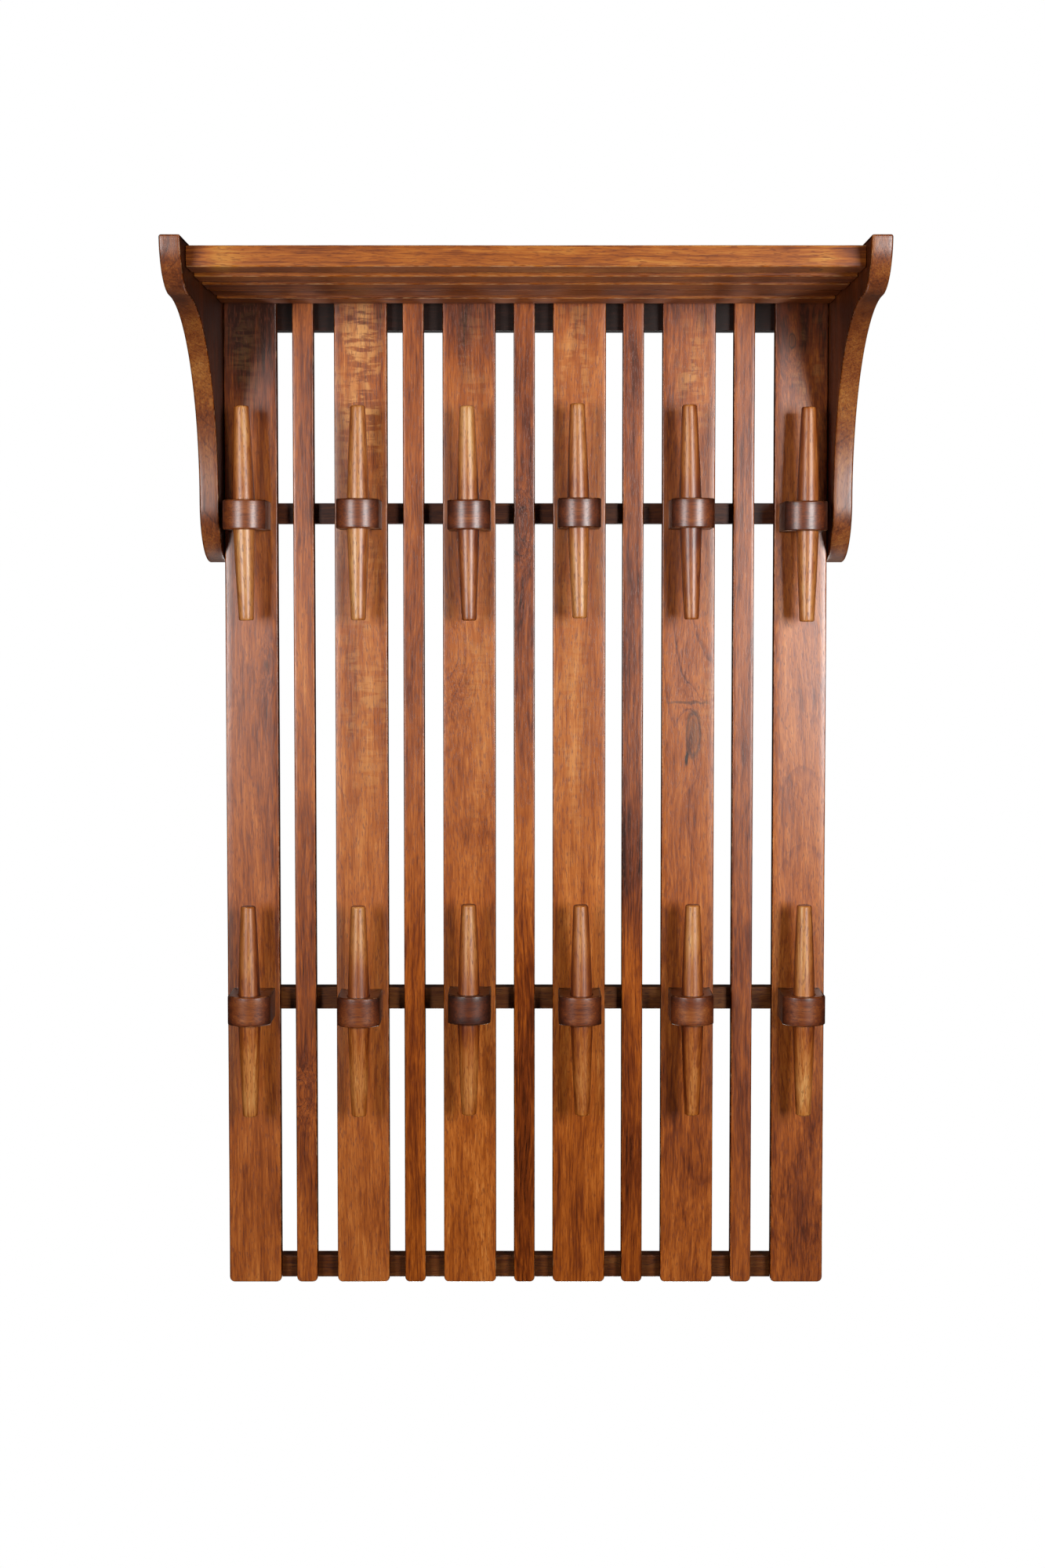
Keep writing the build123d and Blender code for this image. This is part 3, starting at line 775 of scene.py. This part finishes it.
def block_outline(half, depth):
    """
    Width and depth round a block: flat back, straight sides, small round corners, and a front
    bowed by an arc whose radius is (half width squared + bow squared) / (2 bow).
    """
    bow = (half**2 + BLOCK_BOW**2) / (2 * BLOCK_BOW)
    middle = bow - depth
    inner = half - BLOCK_CORNER
    corner_y = middle - math.sqrt((bow - BLOCK_CORNER) ** 2 - inner**2)
    turn = math.degrees(math.atan2(middle - corner_y, inner))
    b = BACK_CORNER
    return joined(
        line((half - b, 0), (b - half, 0), 9, (0, 1)),
        arc((b - half, -b), (b, b), 90, 180, 3),
        line((-half, -b), (-half, corner_y), 9, (-1, 0)),
        arc((-inner, corner_y), (BLOCK_CORNER, BLOCK_CORNER), 180, 180 + turn, 6),
        arc((0, middle), (bow, bow), 180 + turn + 1, 360 - turn - 1, 30),
        arc((inner, corner_y), (BLOCK_CORNER, BLOCK_CORNER), 360 - turn, 360, 6),
        line((half, corner_y), (half, -b), 9, (1, 0)),
        arc((half - b, -b), (b, b), 0, 90, 3),
    )


def peg_axis(node):
    """
    A peg's middle, halfway between the middles of its two tips, and how far its top stands to the
    right per millimetre of height.
    """
    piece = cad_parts[node]
    flat = np.empty(3 * len(piece.data.vertices))
    piece.data.vertices.foreach_get("co", flat)
    turn = np.array(piece.matrix_world)
    points = (flat.reshape(-1, 3) @ turn[:3, :3].T + turn[:3, 3]) * 1000
    low, high = points[:, 2].min(), points[:, 2].max()
    tips = [points[points[:, 2] < low + 0.5], points[points[:, 2] > high - 0.5]]
    foot, top = ((tip.min(axis=0) + tip.max(axis=0)) / 2 for tip in tips)
    return (foot + top) / 2, (top[0] - foot[0]) / (top[2] - foot[2])


def hook_block(node, board, axis):
    """
    A ring whose section goes up the outer face, over the arris and in to the bore, down the bore
    and back out below. Its two parameters are the way round the outline and round that section.
    The wood is painted darker towards the ends and the arrises, as shade, by the fourth power of the
    distance.
    """
    low, high = millimetres(node)
    half = (high[0] - low[0]) / 2
    depth, tall = (high - low)[1:]
    outline, normals = block_outline(half, depth)
    normals = np.stack([normals[:, 0], np.minimum(normals[:, 1], 0)], axis=-1)
    middle, lean = axis
    place = middle[0] + lean * ((low[2] + high[2]) / 2 - middle[2]) - (low[0] + high[0]) / 2
    hole = np.array([place, middle[1] - high[1]])
    spoke = outline - hole
    spoke = spoke / np.linalg.norm(spoke, axis=-1, keepdims=True)
    bend = np.linspace(0, math.pi / 2, 6)
    wall = [(outline, z, 0.0) for z in np.linspace(tall / 2, tall - BLOCK_ARRIS, 4)[:-1]]
    arris = []
    for a in bend:
        edge = outline - BLOCK_ARRIS * (1 - math.cos(a)) * normals
        arris.append((edge, tall - BLOCK_ARRIS * (1 - math.sin(a)), math.sin(2 * a)))
    inner = hole + (BORE_RADIUS + BORE_CHAMFER) * spoke
    rim = outline - (BLOCK_ARRIS + 0.5) * normals
    face = [(rim + (inner - rim) * t, tall, 0.0) for t in (0.0, 0.45, 0.85, 0.97)]
    # The bore's chamfer takes the pale rubbed colour, as bare wood and as a painted highlight.
    face.append((inner, tall, 1.0))
    face.append((hole + (BORE_RADIUS + 0.3) * spoke, tall - 0.35, 1.0))
    bore = [(hole + BORE_RADIUS * spoke, tall - BORE_CHAMFER, 0.8)]
    bore.append((hole + BORE_RADIUS * spoke, tall / 2, 0.0))
    upper = wall + arris + face + bore
    lower = [(flat, tall - z, w) for flat, z, w in upper[-2:0:-1]]
    rows = upper + lower
    z = np.array([row[1] for row in rows])[:, None, None]
    flat = np.stack([row[0] for row in rows])
    rings = np.concatenate([flat, np.broadcast_to(z, flat.shape[:2] + (1,))], axis=-1)
    points = rings + np.array([(low[0] + high[0]) / 2, high[1], low[2]])
    local = np.roll(rings - np.array([0, 0, tall / 2]), -1, axis=-1)
    # Painted shade: darker towards the bowed front's ends and the top and bottom arrises.
    painted_shade = END_SHADE * (rings[..., 0] / half) ** 4
    painted_shade = painted_shade + ARRIS_SHADE * (2 * rings[..., 2] / tall - 1) ** 4
    fields = {
        "log": sawn(local, board),
        "wear": np.broadcast_to(np.array([row[2] for row in rows])[:, None], points.shape[:2]),
        "tone": board["tone"] - painted_shade,
        "rings": np.full(points.shape[:2], BLOCK_RINGS),
    }
    return surface("shaped_" + node, points, fields, node, caps=False)


# Small blocks were sanded smooth all round, so their relief is shallow and their sheen even.
block_wood = grained_wood(
    "stained_mango_blocks",
    shades=("#200902", "#481b05", "#74340e", "#97501b", "#b87234"),
    worn="#b9845a",
    wood_rough=0.36,
    coat_rough=0.33,
    lacquer=0.64,
    ring_width=4.0,
    figure=0.7,
    pale=0.08,
    relief=0.3,
)


# ---- Pegs --------------------------------------------------------------------------------------
# Twelve pegs of paler wood, turned to taper both ways from the bore, rounded at the tips and
# glued through their blocks. Handling has worn the stain thin on their upper halves.

PEG_RADIUS = 10.3
PEG_TIP_RADIUS = 7.0
PEG_SWELL = 0.2
PEG_ROUND = 2.0
PEG_AROUND = 48
# How much painted shade darkens the two sides of a peg above its block and below it, and how much
# darker its tips' end grain is.
SIDE_SHADE_ABOVE = 0.42
SIDE_SHADE_BELOW = 0.26
END_GRAIN_STAIN = 0.35
END_GRAIN_REACH = 0.25
TONE_WANDER = 0.10
# How far from the block the stain pooled, and how far below the middle the lacquer is fully matt.
POOL_REACH = 30.0
MATT_REACH = 20.0


def peg_radius(z, end, straight):
    """
    The turned profile: straight in the bore, then falling evenly to the tip's radius, plus a swell
    of 4 t (1 - t) of its height, and rounded at the tip by a quarter circle.
    """
    height = np.abs(z)
    t = np.clip((height - straight) / (end - PEG_ROUND - straight), 0, 1)
    body = PEG_RADIUS + (PEG_TIP_RADIUS - PEG_RADIUS) * t + 4 * PEG_SWELL * t * (1 - t)
    return body - rounded_edge(end - height, PEG_ROUND)


def peg(node, board, straight, axis):
    """
    The two sides are painted darker, as shade, by the fourth power of the angle's cosine, and the
    stain is pooled beside the block, by a bell curve of the distance. The lacquer is matt on the
    lower half alone.
    beside the block, by a bell curve of the distance. The lacquer is matt on the lower half alone.
    """
    low, high = millimetres(node)
    middle, slope = axis
    lean = math.atan(slope)
    reach = (high[2] - low[2]) / 2 - PEG_ROUND - (PEG_TIP_RADIUS - PEG_ROUND) * abs(math.sin(lean))
    end = reach / math.cos(lean) + PEG_ROUND
    tip = end - PEG_ROUND * (1 - np.sin(np.linspace(0, math.pi / 2, 8)))
    half = np.concatenate([np.linspace(0, end - PEG_ROUND, 26)[:-1], tip])
    z = np.concatenate([-half[::-1], half[1:]])
    angle = np.linspace(0, 2 * math.pi, PEG_AROUND, endpoint=False)
    radius = peg_radius(z, end, straight)[:, None]
    ring = np.stack([radius * np.cos(angle), radius * np.sin(angle)], axis=-1)
    up = np.broadcast_to(z[:, None, None], ring.shape[:2] + (1,))
    rings = np.concatenate([ring, up], axis=-1)
    c, s = math.cos(lean), math.sin(lean)
    turn = np.array([[c, 0, s], [0, 1, 0], [-s, 0, c]])
    points = rings @ turn.T + middle
    rounding = np.exp(-(((end - np.abs(z)) / PEG_ROUND) ** 2))
    pooled = np.exp(-(np.clip((np.abs(z) - straight) / POOL_REACH, 0, None) ** 2))
    end_grain = np.exp(-(((end - np.abs(z)) / END_GRAIN_REACH) ** 2))
    top, foot, pooled_top, pooled_foot = board["tones"]
    tone = np.where(z > 0, top - pooled_top * pooled, foot - pooled_foot * pooled)
    tone = tone + TONE_WANDER * uneven(z, board["seed"])
    tone = (tone - END_GRAIN_STAIN * end_grain)[:, None]
    tone = tone - np.where(z > 0, SIDE_SHADE_ABOVE, SIDE_SHADE_BELOW)[:, None] * np.cos(angle) ** 4
    matt = board["matt"] * np.clip(-z / MATT_REACH, 0, 1)
    fields = {
        "log": sawn(rings, board),
        "wear": np.broadcast_to((rounding - end_grain)[:, None], rings.shape[:2]),
        "tone": tone,
        "rings": np.full(rings.shape[:2], EVEN_RINGS),
        "matt": np.broadcast_to(matt[:, None], rings.shape[:2]),
    }
    return surface("turned_" + node, points, fields, node)


# Turned and sanded on the lathe, the pegs show paler wood, finer rings and hardly any relief.
peg_wood = grained_wood(
    "stained_mango_pegs",
    shades=("#300e02", "#6e2c09", "#a6581a", "#c98240", "#e2ae6a"),
    worn="#e0b68a",
    wood_rough=0.40,
    coat_rough=0.38,
    lacquer=0.75,
    ring_width=5.0,
    figure=0.7,
    relief=0.3,
)

# One line per hook, left to right: the block's tone, the peg's above and below the block, and how
# much darker the stain dried beside the block above and below it.
HOOK_TONES = {
    "upper": (
        (0.14, 0.34, 0.28, 0.32, 0.10),
        (0.02, 0.34, 0.34, 0.18, 0.14),
        (0.04, 0.33, 0.12, 0.18, 0.14),
        (-0.02, 0.28, 0.28, 0.16, 0.12),
        (0.06, 0.16, 0.04, 0.22, 0.18),
        (-0.12, 0.12, 0.30, 0.16, 0.10),
    ),
    "lower": (
        (0.04, 0.22, 0.14, 0.22, 0.10),
        (0.04, 0.38, 0.16, 0.36, 0.16),
        (-0.22, 0.24, 0.24, 0.26, 0.40),
        (0.02, 0.20, 0.12, 0.18, 0.20),
        (0.12, 0.24, 0.10, 0.12, 0.16),
        (0.02, 0.32, 0.20, 0.12, 0.16),
    ),
}
# Each row's first seed, and how matt the lower halves of its pegs are.
for row, seed, matt in (("upper", 100, 0.0), ("lower", 200, 0.5)):
    for n, (block_tone, *peg_tones) in enumerate(HOOK_TONES[row], start=1):
        luck = np.random.default_rng(seed + n)
        block_node, peg_node = f"{row}_hook_block_{n}", f"{row}_peg_{n}"
        axis = peg_axis(peg_node)
        board = dict(pith=luck.uniform(20, 60, 2), lean=luck.uniform(-0.02, 0.02), seed=seed + n)
        board["tone"] = block_tone
        hook_block(block_node, board, axis).data.materials.append(block_wood)
        board = dict(pith=luck.uniform(15, 40, 2), lean=luck.uniform(-0.06, 0.06), seed=seed + n + 50)
        board["tones"] = peg_tones
        board["matt"] = matt
        block_low, block_high = millimetres(block_node)
        straight = (block_high[2] - block_low[2]) / 2
        peg(peg_node, board, straight, axis).data.materials.append(peg_wood)


# ---- Dowels ------------------------------------------------------------------------------------
# Plain beech dowels, hidden in the joints between brackets, bars and the two upper rails. Beech
# is pale and dull without stain and lacquer, with the same short fibres and pores.

dowel_wood = grained_wood(
    "plain_beech_dowels",
    shades=("#a87a4c", "#bf9263", "#cfa577", "#dab488", "#e3c29a"),
    worn="#dcb88c",
    wood_rough=0.55,
    lacquer=0.0,
    turned=ALONG_X,
)
for node in ("shelf_dowels", "rail_dowels"):
    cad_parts[node].data.materials.clear()
    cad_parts[node].data.materials.append(dowel_wood)


# ---- Screws and hangers ------------------------------------------------------------------------
# Countersunk wood screws and two keyhole plates, pressed from steel and plated with bright zinc.
# The plates are let into the top rail's back and held by two short screws each.

HANDLED_PATCH = 6.0
PLATING_GRIT = 0.8


def zinc_plated_steel(name):
    """
    Bright zinc on pressed steel. The eye gets a smooth grey metal with a faint blue cast, dulled in
    soft patches by handling, and a slight grit, drawn coarser than the plating's own so it shows.
    """
    material = bpy.data.materials.new(name)
    material.use_nodes = True
    tree = material.node_tree
    tree.nodes.clear()
    place = add(tree, "ShaderNodeTexCoord").outputs["Object"]
    patch_inputs = {"Vector": place, "Scale": 1000 / HANDLED_PATCH, "Detail": 3.0}
    patches = add(tree, "ShaderNodeTexNoise", patch_inputs)
    grit = add(tree, "ShaderNodeTexNoise", {"Vector": place, "Scale": 1000 / PLATING_GRIT, "Detail": 2.0})
    tints = {0: patches, 6: linear("#9c9ea1"), 7: linear("#c9cbce")}
    colour = add(tree, "ShaderNodeMix", tints, data_type="RGBA").outputs[2]
    shader = add(tree, "ShaderNodeBsdfPrincipled", {
        "Base Color": colour,
        "Metallic": 1.0,
        "Roughness": add(tree, "ShaderNodeMapRange", {0: patches, 1: 0.3, 2: 0.7, 3: 0.24, 4: 0.42}),
        "Normal": add(tree, "ShaderNodeBump", {"Strength": 0.4, "Distance": 0.00005, "Height": grit}),
    })
    add(tree, "ShaderNodeOutputMaterial", {0: shader})
    return material


zinc_steel = zinc_plated_steel("bright_zinc_on_steel")
for node in ("slat_screws", "block_screws", "hanger_plate_left", "hanger_plate_right", "hanger_screws"):
    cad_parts[node].data.materials.clear()
    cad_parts[node].data.materials.append(zinc_steel)


# ---- Studio ------------------------------------------------------------------------------------
# A pale floor below the hung rack, a soft box in front to its left and a stronger one to its
# right, weak ones low behind and high above it, and a camera level with its upper half.

FLOOR_DROP = 0.65
FLOOR_HALF_WIDTH = 1.5
FLOOR_FRONT = -1.2
FLOOR_BACK = 0.35
FLOOR_GLOW = 0.78
FILL = 0.025
BOX_SIZE = (0.5, 0.7)
BOX_DISTANCE = 1.75
BOX_HEIGHT = -0.22
# Each soft box: degrees to the right of the front, degrees up from the rack's middle, and watts.
BOXES = ((-34, 0, 14.2), (32, 0, 21.4), (180, -56, 13.0), (0, 76, 5.0))


def pale_floor(name):
    """Matt grey paint, which the camera sees as bright paper with the rack's shadow on it."""
    material = bpy.data.materials.new(name)
    material.use_nodes = True
    tree = material.node_tree
    tree.nodes.clear()
    rays = add(tree, "ShaderNodeLightPath").outputs
    glow = add(tree, "ShaderNodeMath", {0: rays["Is Camera Ray"], 1: FLOOR_GLOW}, operation="MULTIPLY")
    paint = add(tree, "ShaderNodeBsdfDiffuse", {"Color": linear("#7c7c7b")})
    light = add(tree, "ShaderNodeEmission", {"Strength": glow})
    both = add(tree, "ShaderNodeAddShader", {0: paint, 1: light})
    add(tree, "ShaderNodeOutputMaterial", {0: both})
    return material


floor_mesh = bpy.data.meshes.new("floor")
floor_z = cad_bounds[0][2] - FLOOR_DROP
floor_mesh.from_pydata([
    (-FLOOR_HALF_WIDTH, FLOOR_FRONT, floor_z),
    (FLOOR_HALF_WIDTH, FLOOR_FRONT, floor_z),
    (FLOOR_HALF_WIDTH, FLOOR_BACK, floor_z),
    (-FLOOR_HALF_WIDTH, FLOOR_BACK, floor_z),
], [], [(0, 1, 2, 3)])
floor_mesh.materials.append(pale_floor("matt_grey_paint"))
floor = bpy.data.objects.new("floor", floor_mesh)
bpy.context.scene.collection.objects.link(floor)

world = bpy.data.worlds.new("studio")
bpy.context.scene.world = world
world.use_nodes = True
world.node_tree.nodes.clear()
rays = add(world.node_tree, "ShaderNodeLightPath").outputs
strength = add(world.node_tree, "ShaderNodeMapRange", {0: rays["Is Camera Ray"], 3: FILL, 4: 1.0})
white = add(world.node_tree, "ShaderNodeBackground", {"Color": (1, 1, 1, 1), "Strength": strength})
add(world.node_tree, "ShaderNodeOutputWorld", {0: white})

for degrees, lift, power in BOXES:
    side, rise = math.radians(degrees), math.radians(lift)
    reach = BOX_DISTANCE * math.cos(rise)
    light = bpy.data.lights.new("soft_box", "AREA")
    light.shape = "RECTANGLE"
    light.size, light.size_y = BOX_SIZE
    light.energy = power
    lamp = bpy.data.objects.new("soft_box", light)
    height = BOX_HEIGHT + BOX_DISTANCE * math.sin(rise)
    lamp.location = (reach * math.sin(side), -reach * math.cos(side), height)
    lamp.rotation_euler = (math.pi / 2 - rise, 0, side)
    lamp.visible_camera = False
    bpy.context.scene.collection.objects.link(lamp)

camera_data = bpy.data.cameras.new("camera")
camera_data.lens = 43.79
camera_data.sensor_width = 36
camera_data.shift_x = -0.0022
camera_data.shift_y = -0.0627
camera = bpy.data.objects.new("camera", camera_data)
camera.location = (0, -1.8292, -0.273)
camera.rotation_euler = (math.radians(87.49), 0, 0)
bpy.context.scene.collection.objects.link(camera)
bpy.context.scene.camera = camera
bpy.context.scene.view_settings.view_transform = "Standard"
